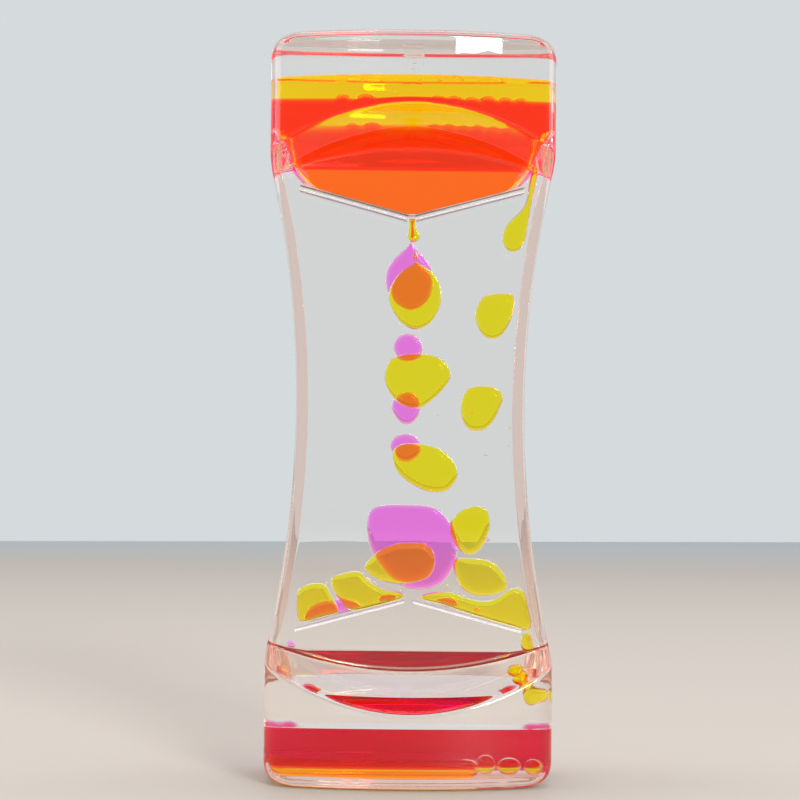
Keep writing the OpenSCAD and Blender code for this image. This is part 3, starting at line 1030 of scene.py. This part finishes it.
    def slats(self) -> None:
        """Builds the slats by what the eye gets of clear strips: their lit edges.

        The upper ones show a bright edge, and in front a shaded one over it.
        """
        finishes = {Side.FRONT: SLAT.material(), Side.REAR: REAR_SLAT.material()}
        shaded = SHADED_EDGE.material()
        for half in HALVES:
            r = self.slat_t[half.side.value > 0] / 2
            lower, upper = [(0.0, 1.0)], [self.lit_edge]
            if half.side is Side.FRONT:
                upper.append(self.shaded_edge)
            for across, up in ((-1, -1), (-1, 1), (1, -1), (1, 1)):
                turn = np.array([across, half.side.value, up])
                patches = []
                for slot, (shift, share) in enumerate(upper if up > 0 else lower):
                    strip = self.line(shift, r * share, slot).points * turn
                    patches.append(Patch(strip, slot))
                    patches += [Patch(np.stack([strip[i], np.broadcast_to(
                        strip[i].mean(0), strip[i].shape)]), slot) for i in (0, -1)]
                name = "_".join((half.word, "upper" if up > 0 else "lower",
                                 "right" if across > 0 else "left", "slat"))
                piece = make_piece(f"{name}_strip", patches,
                                   [finishes[half.side], shaded])
                self.keep(piece, "slat_acrylic", name)


@dataclass(frozen=True)
class DropForm:
    """A drop squeezed between panel and partition.

    Attributes:
        node: the CAD node that it stands for.
        x: its middle across.
        z: its middle over the middle of the block.
        outline: corners of its outline about that point.
    """

    node: str
    x: float
    z: float
    outline: tuple[tuple[float, float], ...]


DROPS = (
    DropForm("yellow_heap_far_left", -19, -40.72, (
        (-4.3, 2.2), (-3.3, 3.4), (-1.3, 4.1), (1.1, 4.1), (2.1, 3.2), (2.9, 1.6),
        (3.8, 0.1), (4.5, -1.5), (4, -2.3), (0.8, -3.1), (-2.8, -4.1), (-4.1, -3.5),
        (-4.4, -1.5), (-4.5, 0.4),
    )),
    DropForm("yellow_heap_left", -8.7, -38.16, (
        (-7.7, 1.9), (-7.2, 2.9), (-5.6, 3.6), (-2.7, 4.2), (-1.2, 3.9), (-0.1, 2.6),
        (2.1, 1), (4.6, 0.2), (6.8, -0.1), (7.7, -0.7), (7.4, -1.6), (5, -2.4), (1.4, -3.4),
        (-2.3, -4.2), (-4.3, -3.7), (-5.7, -1.9), (-7, -0.1),
    )),
    DropForm("yellow_heap_centre", -1.89, -32.25, (
        (-7.5, -1.1), (-7, 0.1), (-5.4, 1.8), (-3.4, 3.2), (-0.5, 4.2), (2.8, 4.4),
        (5.3, 4.1), (7, 2.7), (7.5, 0.5), (7, -1.7), (5.6, -3.3), (2.5, -4.2), (-1.1, -4.4),
        (-4, -3.7), (-6.2, -2.6),
    )),
    DropForm("yellow_heap_right", 14.19, -41.64, (
        (-11.7, 2.3), (-10.7, 3), (-7.8, 3.5), (-5.2, 3.4), (-3, 2.6), (-0.8, 1.9),
        (2.1, 1.6), (4.4, 2.3), (6.4, 3.8), (7.8, 4.4), (9.7, 4), (10.6, 2.4), (11.2, -0.2),
        (11.7, -2.7), (11.3, -4.2), (9.8, -4.4), (7.3, -3.7), (2.5, -2.4), (-3, -0.7),
        (-7.4, 0.8), (-10.8, 1.5),
    )),
    DropForm("yellow_foot_leak", 25.66, -48.89, (
        (-1.4, 2.2), (-0.5, 2.5), (0.1, 1.9), (0.5, 0.5), (0.8, -0.9), (0.6, -2),
        (-0.3, -2.4), (-1.3, -1.9), (-1.9, -0.7), (-2.1, 0.6), (-1.9, 1.6),
    )),
    DropForm("yellow_heap_low_right", 14.97, -35, (
        (-5.7, 2.5), (-5.3, 3.6), (-4.3, 4), (-1.3, 3.9), (1.2, 3.6), (3, 2.9), (4.7, 1.2),
        (5.7, -0.8), (5.6, -2.2), (4.6, -3.2), (2.4, -3.9), (-0.2, -4), (-2.3, -3.5),
        (-4, -2.2), (-5.1, -0),
    )),
    DropForm("yellow_heap_high_right", 12.81, -25.31, (
        (-4.2, 1.4), (-3.6, 2.6), (-1.8, 4.3), (0.3, 5.1), (2.1, 5.1), (3.6, 4.3),
        (4.2, 2.3), (4, -0.3), (3, -2.8), (1.5, -4.6), (-0.1, -5.1), (-1.7, -4.6),
        (-3.2, -2.8), (-4.2, -0.6),
    )),
    DropForm("pink_heap_centre", 0.69, -29.02, (
        (-9.6, 5.2), (-9.1, 7.4), (-7.5, 8.6), (-4.6, 9), (-0.2, 9), (3.5, 8.8), (5.7, 7.9),
        (7.7, 5.9), (9.1, 3.3), (9.6, 0.4), (9.5, -2.5), (8.2, -5.5), (6.3, -7.7),
        (3.7, -8.8), (1.1, -9), (-1.4, -8.6), (-4.4, -6.6), (-7, -3.6), (-8.7, -0.7),
        (-9.5, 2.6),
    )),
    DropForm("pink_heap_far_left", -15.95, -42.45, (
        (-6, -1.3), (-5.1, 0.4), (-3.2, 1.7), (-0.5, 2.3), (2.4, 2.5), (4.6, 2.1),
        (5.9, 1.1), (6, 0.4), (4.6, -0), (1.4, -0.8), (-2.3, -1.8), (-4.9, -2.5),
        (-5.8, -2.2),
    )),
    DropForm("pink_heap_left", -4.37, -39.77, (
        (-2, -0.2), (-1.1, 0.8), (0.7, 1.1), (2, 0.5), (1.8, -0.4), (0, -1), (-1.5, -1.1),
    )),
    DropForm("pink_heap_right", 8.27, -40.62, (
        (-2.4, 0.3), (-1.5, 1), (0.3, 1.2), (1.8, 0.8), (2.4, -0.4), (1.7, -1.2),
        (0.2, -1.1), (-1.6, -0.5),
    )),
    DropForm("yellow_drop_1", 0.81, 23.96, (
        (0.2, 7.1), (1.5, 6.4), (3.8, 4.9), (5.2, 2.6), (5.6, -0.2), (5.1, -2.9),
        (3.5, -5.6), (1.5, -6.9), (-0.4, -7.1), (-2.7, -6), (-4.5, -3.7), (-5.5, -1.5),
        (-5.6, 0.6), (-4.6, 3), (-2.8, 5.3), (-1, 6.4),
    )),
    DropForm("pink_drop_1", -0.37, 28.36, (
        (0.2, 7.2), (1.2, 6), (3, 4.3), (4.5, 2.4), (5, 0.6), (5.1, -1.9), (4.5, -4.4),
        (3.1, -6.2), (1.3, -7.2), (-0.6, -7.2), (-2.7, -6), (-4.1, -4.4), (-5, -2.3),
        (-5.1, -0.2), (-4.6, 1.8), (-3, 4.1), (-0.9, 5.9),
    )),
    DropForm("yellow_orifice_drop", 0.41, 37.62, (
        (-1.1, 2.4), (0.4, 2.4), (0.5, 0.9), (1.1, -0.2), (1.4, -1.2), (1, -2.1), (0, -2.4),
        (-0.8, -2.3), (-1.4, -1.4), (-1.3, 0), (-1.1, 1.3),
    )),
    DropForm("pink_orifice_drop", 0.18, 38.16, (
        (-0.5, 2.3), (0.5, 2.3), (0.5, 1.1), (0.7, -0.5), (0.3, -1.9), (-0.1, -2.3),
        (-0.6, -1.8), (-0.7, -0.5), (-0.7, 1.1),
    )),
    DropForm("yellow_drop_2", 1.56, 5.97, (
        (-5, 5), (-2.5, 5.7), (0.4, 5.8), (2.8, 5.6), (5.1, 4.6), (6.5, 3), (7, 1.5),
        (6.4, -0.3), (4.8, -2.4), (2.9, -4.2), (0.9, -5.6), (-0.7, -5.8), (-2.8, -5.4),
        (-4.6, -4.2), (-6.1, -2.4), (-7, -0.1), (-7, 1.9), (-6.2, 4),
    )),
    DropForm("pink_drop_2", -0.52, 13.13, (
        (-3.2, 0), (-2.6, 1.8), (-1.2, 2.9), (0.6, 3), (2.3, 2.1), (3.2, 0.3), (2.9, -1.3),
        (1.5, -2.7), (-0.1, -3), (-2, -2.3),
    )),
    DropForm("pink_drop_3", -0.84, 0.4, (
        (-3.1, -0.2), (-2.9, 1.3), (-2.2, 2.3), (-0.9, 3.2), (0.7, 3.5), (2.2, 2.8),
        (3.1, 1.3), (3.1, -0.4), (2.3, -2.4), (0.9, -3.5), (-0.7, -3.4), (-2.1, -2.2),
    )),
    DropForm("pink_drop_4", -0.79, -8.12, (
        (-3.4, 0.7), (-2.7, 2.1), (-1.1, 3), (1, 3), (2.6, 2.1), (3.4, 0.3), (2.9, -1.4),
        (1.4, -2.7), (-0.2, -3), (-1.9, -2.3), (-2.9, -1),
    )),
    DropForm("yellow_drop_3", 3.28, -12.25, (
        (-6.9, 2.3), (-6.7, 3.8), (-5.2, 4.9), (-3, 5.2), (-0.3, 5), (2.6, 4.2), (4.6, 2.9),
        (6.3, 0.9), (6.9, -1), (6.3, -3), (4.7, -4.7), (2.7, -5.2), (0.2, -4.9),
        (-2.3, -3.8), (-4.7, -2.2), (-6.4, -0.1),
    )),
    DropForm("yellow_side_drop_1", 17.62, 19.83, (
        (-4.2, -0.2), (-3.9, 1.8), (-2.7, 3.9), (-0.7, 4.7), (1.8, 4.9), (3.4, 4.7),
        (4.2, 3.7), (4, 1.4), (3.5, -0.6), (2.5, -2.7), (1.1, -4.4), (-0.6, -4.9),
        (-2.2, -4.3), (-3.5, -2.7),
    )),
    DropForm("yellow_side_drop_2", 15.04, 0.35, (
        (-4.5, -0), (-4.2, 2), (-3.2, 3.9), (-1.6, 4.7), (0.5, 4.8), (2.7, 4.5), (4.2, 3.3),
        (4.5, 2), (3.8, -0), (2.6, -2.5), (1, -4.3), (-1, -4.8), (-2.9, -4.3), (-4.1, -2.5),
    )),
    DropForm("yellow_leak_drop", 22.81, 43.42, (
        (3.5, 10.9), (4, 10), (3.9, 8.1), (3.6, 6.2), (3.2, 4.2), (2.8, 2.2), (2.4, 0),
        (2, -2.4), (1.6, -5), (1.1, -7.6), (0.1, -9.4), (-1.4, -10.1), (-2.9, -9.5),
        (-3.7, -8), (-3.7, -6.4), (-2.9, -4.4), (-1.3, -2.6), (0.3, -1.1), (1.2, 0.6),
        (1.5, 2.2), (1.7, 3.8), (2.1, 5.8), (2.5, 7.8), (3, 9.6),
    )),
)

# Stray beads of each chamber: place across, height and radius.
STRAYS = {
    Side.FRONT: ((20.94, -3.65, 0.28), (20.77, -7.49, 0.28), (8.07, -36.91, 0.38),
                 (-7.96, -25.93, 0.3)),
    Side.REAR: ((5.91, -1.12, 0.28), (16.15, -9.39, 0.42), (13.22, -0.55, 0.32),
                (16.72, -27.34, 0.55), (14.53, -42.16, 0.72), (-7.84, -40.95, 0.5),
                (25.65, -48.09, 0.65), (-24.58, -49.67, 0.9)),
}

# Domes on the liquids where drops wait to merge: centre, radius and rise.
YELLOW_DOMES = (
    (-12.0, -9, 1.5, 0.9), (-8.0, -6, 1.3, 0.7), (3.2, -8, 2.1, 0.8),
    (11.4, -9, 1.6, 0.8), (20.5, -7, 2.1, 0.9), (-14.5, -4, 0.8, 0.4),
    (8.6, -12, 0.8, 0.4), (16.5, -11, 1.0, 0.5),
)
PINK_DOMES = tuple((x, y, r, h) for x, r, h in (
    (-13.8, 2.0, 1.2), (-9.3, 2.3, 1.3), (5.0, 1.9, 0.9), (8.2, 1.9, 1.1),
    (11.6, 1.8, 0.9), (14.9, 2.0, 1.2), (18.4, 1.8, 1.0), (21.6, 1.7, 0.9),
) for y in (-3.2, -6.4, -9.6))
POOL_DOMES = ((-22.9, -4.5, 2.5, 1.5), (-26.0, -3.4, 1.4, 0.8), (24.2, -4.6, 2.6, 1.4))
# Beads: centre, radius and how much they are squashed in height.
FOOT_BEADS = (
    (15.4, -7.2, 2.1, 0.95), (20.2, -8.9, 2.5, 0.72), (25.0, -8.9, 1.7, 0.95),
)
TRAILING_BEAD = (0.78, 32.2, 0.58, 1.5)
WALL_BEAD = (((23.1, -4.2, -56.7), 1.8, 0.9), ((24.5, -4.0, -59.3), 1.8, 1.15))


@dataclass
class Liquids(Part):
    """The liquid that rests in the head and foot, and all the drops on their way.

    Attributes:
        slat_t: thickness of a slat.
        chamber_y: middle of a chamber in the waist.
        yellow_top: height of the yellow liquid in the head.
        pink_top: height of the pink liquid in the head.
        yellow_rest: how far out the yellow liquid lies on the slats, and the radius
            in which it turns up to the wall.
        pink_rest: the same for the pink liquid.
        pink_pool: depth of the pink pool over the base.
        yellow_pool: underside and top of the yellow pool over the base.
        pool_end: right end of the yellow pool.
        bead_base: underside of the beads beside it, over the base.
    """

    slat_t: float = 0.9
    chamber_y: float = 2.55
    yellow_top: float = 68.3
    pink_top: float = 65.4
    yellow_rest: tuple[float, float] = (19.0, 9.0)
    pink_rest: tuple[float, float] = (20.8, 7.0)
    pink_pool: float = 10.7
    yellow_pool: tuple[float, float] = (2.15, 6.0)
    pool_end: float = 14.2
    bead_base: float = 2.3

    def funnel(self, reach: float, r: float) -> Callable[[Array], Array]:
        """Underside of the liquid on the slats: their line, then an arc up to the wall.

        Args:
            reach: how far out the liquid lies on the slats.
            r: radius of the arc.

        Returns:
            Height as a function of the place across.
        """
        jump, climb = 2.0, 0.6
        lift = (self.slat_t / 2 + LIQUID_GAP) / math.cos(SLOPE)

        def on_slat(x: Array | float) -> Array:
            """Height just over a slat, which climbs from the gap at its slope."""
            out = np.clip(np.abs(x) - SLAT_GAP / 2, 0, None)
            return SLAT_H + out * math.tan(SLOPE) + lift

        cx = reach - r * math.sin(SLOPE)
        cz = float(on_slat(reach)) + r * math.cos(SLOPE)

        def height(x: Array) -> Array:
            """Height of the underside at x."""
            a = np.abs(x)
            arc = cz - np.sqrt(np.clip(r * r - np.clip(a - cx, 0, r) ** 2, 0, None))
            wall = cz + jump + climb * (a - cx - r)
            return np.where(a < reach, on_slat(x), np.where(a < cx + r, arc, wall))

        return height

    def round_end(self, z: Array) -> Array:
        """Right edge of the yellow pool: a half circle as high as the pool."""
        low, high = (level - MID_Z for level in self.yellow_pool)
        r = (high - low) / 2
        up = np.clip(np.abs(z - low - r), 0, r)
        return self.pool_end - r + np.sqrt(r * r - up * up)

    def build(self) -> None:
        """Builds the liquid in the head and foot, the drops and the beads."""
        yellow, pink = YELLOW_DYE.material(), PINK_DYE.material()
        pool_yellow = POOL_YELLOW_DYE.material()
        yellow_pool_top = self.yellow_pool[1] - MID_Z
        for node, side, dye, low, high, right, domes in (
            ("yellow_head_liquid", Side.FRONT, HEAD_YELLOW_DYE.material(),
             self.funnel(*self.yellow_rest), self.yellow_top, None, YELLOW_DOMES),
            ("pink_head_liquid", Side.REAR, HEAD_PINK_DYE.material(),
             self.funnel(*self.pink_rest), self.pink_top, None, PINK_DOMES),
            ("pink_foot_pool", Side.REAR, POOL_PINK_DYE.material(),
             None, self.pink_pool - MID_Z, None, POOL_DOMES),
            ("yellow_foot_pool", Side.FRONT, pool_yellow,
             None, yellow_pool_top, self.round_end, ()),
        ):
            grid = BlockGrid(HALVES[side is Side.REAR].fill, SHEET_T / 2 + LIQUID_GAP,
                             low, high, right, domes)
            piece = make_piece(f"{node}_clear", mirrored(grid.solid(), side), [dye])
            self.keep(piece, f"{node.split('_')[0]}_liquid", node)
        chambers = {"yellow": (Side.FRONT, yellow), "pink": (Side.REAR, pink)}
        for drop in DROPS:
            word = drop.node.split("_")[0]
            side, dye = chambers[word]
            place = (drop.x, self.chamber_y * side.value, drop.z)
            patches = pebble(smooth_outline(drop.outline), place)
            self.keep(make_piece(f"{drop.node}_clear", patches, [dye]),
                      f"{word}_liquid", drop.node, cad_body(drop.node))
        base = self.bead_base - MID_Z
        for node, dye, balls in (
            ("yellow_foot_beads", pool_yellow,
             [((x, y, base + r * squash), r, squash) for x, y, r, squash in FOOT_BEADS]),
            ("yellow_wall_bead", yellow, WALL_BEAD),
        ):
            patches = [b for each in balls for b in ball(*each)]
            self.keep(make_piece(f"{node}_clear", patches, [dye]), "yellow_liquid", node)
        for word, (side, dye) in chambers.items():
            y = self.chamber_y * side.value
            patches = [b for x, z, r in STRAYS[side] for b in ball((x, y, z), r)]
            piece = make_piece(f"{word}_stray_beads", patches, [dye])
            self.keep(piece, f"{word}_liquid")
        x, z, r, squash = TRAILING_BEAD
        trail = make_piece("yellow_trailing_bead",
                           ball((x, -self.chamber_y, z), r, squash), [yellow])
        self.keep(trail, "yellow_liquid", body=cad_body("yellow_drop_1"))


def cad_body(node: str) -> str:
    """Name of the CAD body that carries a node."""
    for body, members in FRAME["record"]["behaviour"]["bodies"].items():
        if node in members:
            return body
    return Body.HOUSING.value


# ---------------------------------------------------------------- studio


@dataclass
class Studio:
    """Pale floor, pale backdrop, soft lamps and the camera.

    Attributes:
        backdrop: colour behind the object.
        room: colour of the rest of the room.
        eye: place of the camera in mm over the floor.
        aim: point in the middle of the picture.
        roll_deg: how far the camera is turned about its axis.
        lens: focal length on a 36 mm sensor.
        turn: depths of the view direction between which room goes to backdrop.
        floor_half: half the width of the floor in metres, and its near edge.
        floor_far: its far edge at the left and at the right.
        sunk: how far it lies under the block, in metres.
    """

    backdrop: str = "#D5DADC"
    room: str = "#A0A4A7"
    eye: tuple[float, float, float] = (-10.0, -450.0, 66.0)
    aim: tuple[float, float, float] = (-2.1, 0.0, 79.55)
    roll_deg: float = 0.55
    lens: float = 95.6
    turn: tuple[float, float] = (0.1, 0.8)
    floor_half: float = 2.5
    floor_far: tuple[float, float] = (0.86, 1.86)
    sunk: float = 0.0002

    def world(self) -> None:
        """Sets the backdrop, which turns to the darker room towards the camera."""
        world = bpy.data.worlds.new("studio")
        bpy.context.scene.world = world
        world.use_nodes = True
        tree = world.node_tree
        tree.nodes.clear()
        behind = add_node(
            tree, "ShaderNodeMapRange", Value=split(tree, "Generated", "Y"),
            From_Min=self.turn[0], From_Max=self.turn[1],
        )
        shade = blend(tree, behind.outputs["Result"], self.room, self.backdrop)
        sky = add_node(tree, "ShaderNodeBackground", Color=shade, Strength=1.0)
        add_node(tree, "ShaderNodeOutputWorld", Surface=sky.outputs["Background"])

    def lamp(self, name: str, place: tuple[float, float, float], size: tuple[float, float],
             radiance: float, aim: tuple[float, float, float] = (0, 0, 0.08)) -> None:
        """Adds a soft box.

        Args:
            name: name of the lamp.
            place: its place in metres.
            size: width and height in metres.
            radiance: brightness of its face, where 1 is white.
            aim: point that it faces.
        """
        data = bpy.data.lights.new(name, "AREA")
        data.shape = "RECTANGLE"
        data.size, data.size_y = size
        data.energy = radiance * math.pi * size[0] * size[1]
        lamp = bpy.data.objects.new(name, data)
        bpy.context.scene.collection.objects.link(lamp)
        lamp.location = place
        way = Vector(aim) - Vector(place)
        lamp.rotation_euler = way.to_track_quat("-Z", "Y").to_euler()

    def build(self) -> None:
        """Builds floor, world, lamps and camera."""
        self.world()
        mesh = bpy.data.meshes.new("floor")
        half, (left, right) = self.floor_half, self.floor_far
        ring = [(-half, -half), (half, -half), (half, right), (-half, left)]
        mesh.from_pydata([(x, y, -self.sunk) for x, y in ring], [], [(0, 1, 2, 3)])
        floor = bpy.data.objects.new("floor", mesh)
        bpy.context.scene.collection.objects.link(floor)
        mesh.materials.append(FLOOR.material())
        self.lamp("key_softbox", (0.55, -1.35, 0.681), (0.42, 0.5), 22.0)
        self.lamp("left_softbox", (-1.1, 0.1, 0.55), (0.7, 0.9), 2.2)
        self.lamp("right_softbox", (1.15, 0.25, 0.5), (0.6, 0.9), 2.0)
        self.lamp("top_softbox", (0.0, 0.1, 1.3), (1.0, 0.8), 2.4)
        self.camera()

    def camera(self) -> None:
        """Places the camera and turns it to the middle of the picture."""
        data = bpy.data.cameras.new("camera")
        data.lens, data.sensor_width = self.lens, 36.0
        data.clip_start = 0.01
        camera = bpy.data.objects.new("camera", data)
        bpy.context.scene.collection.objects.link(camera)
        eye, aim = Vector(self.eye) * MM, Vector(self.aim) * MM
        turn = (aim - eye).to_track_quat("-Z", "Y").to_matrix().to_4x4()
        roll = Matrix.Rotation(math.radians(self.roll_deg), 4, "Z")
        camera.matrix_world = Matrix.Translation(eye) @ turn @ roll
        bpy.context.scene.camera = camera


# ---------------------------------------------------------------- main

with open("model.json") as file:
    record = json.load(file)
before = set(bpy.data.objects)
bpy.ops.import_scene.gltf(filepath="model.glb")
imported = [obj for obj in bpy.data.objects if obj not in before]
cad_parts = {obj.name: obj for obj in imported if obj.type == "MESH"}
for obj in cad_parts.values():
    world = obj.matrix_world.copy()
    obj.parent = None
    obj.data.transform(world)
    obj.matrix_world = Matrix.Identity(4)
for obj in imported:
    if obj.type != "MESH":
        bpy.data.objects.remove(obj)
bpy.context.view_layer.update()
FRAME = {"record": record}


def main() -> None:
    """Builds the timer and the studio, and reports each piece."""
    logging.basicConfig(level=logging.INFO, format="%(name)s: %(message)s")
    scene = bpy.context.scene
    scene.view_settings.view_transform = "Standard"
    scene.cycles.max_bounces = BOUNCES
    scene.cycles.transmission_bounces = BOUNCES
    scene.cycles.glossy_bounces = BOUNCES
    scene.cycles.transparent_max_bounces = BOUNCES // 2
    housing = Housing()
    housing.build()
    housing.partition()
    housing.slats()
    liquids = Liquids()
    liquids.build()
    Studio().build()
    for piece in housing.pieces + liquids.pieces:
        LOG.info("%s: %d faces", piece.name, len(piece.data.polygons))


if __name__ == "__main__":
    main()
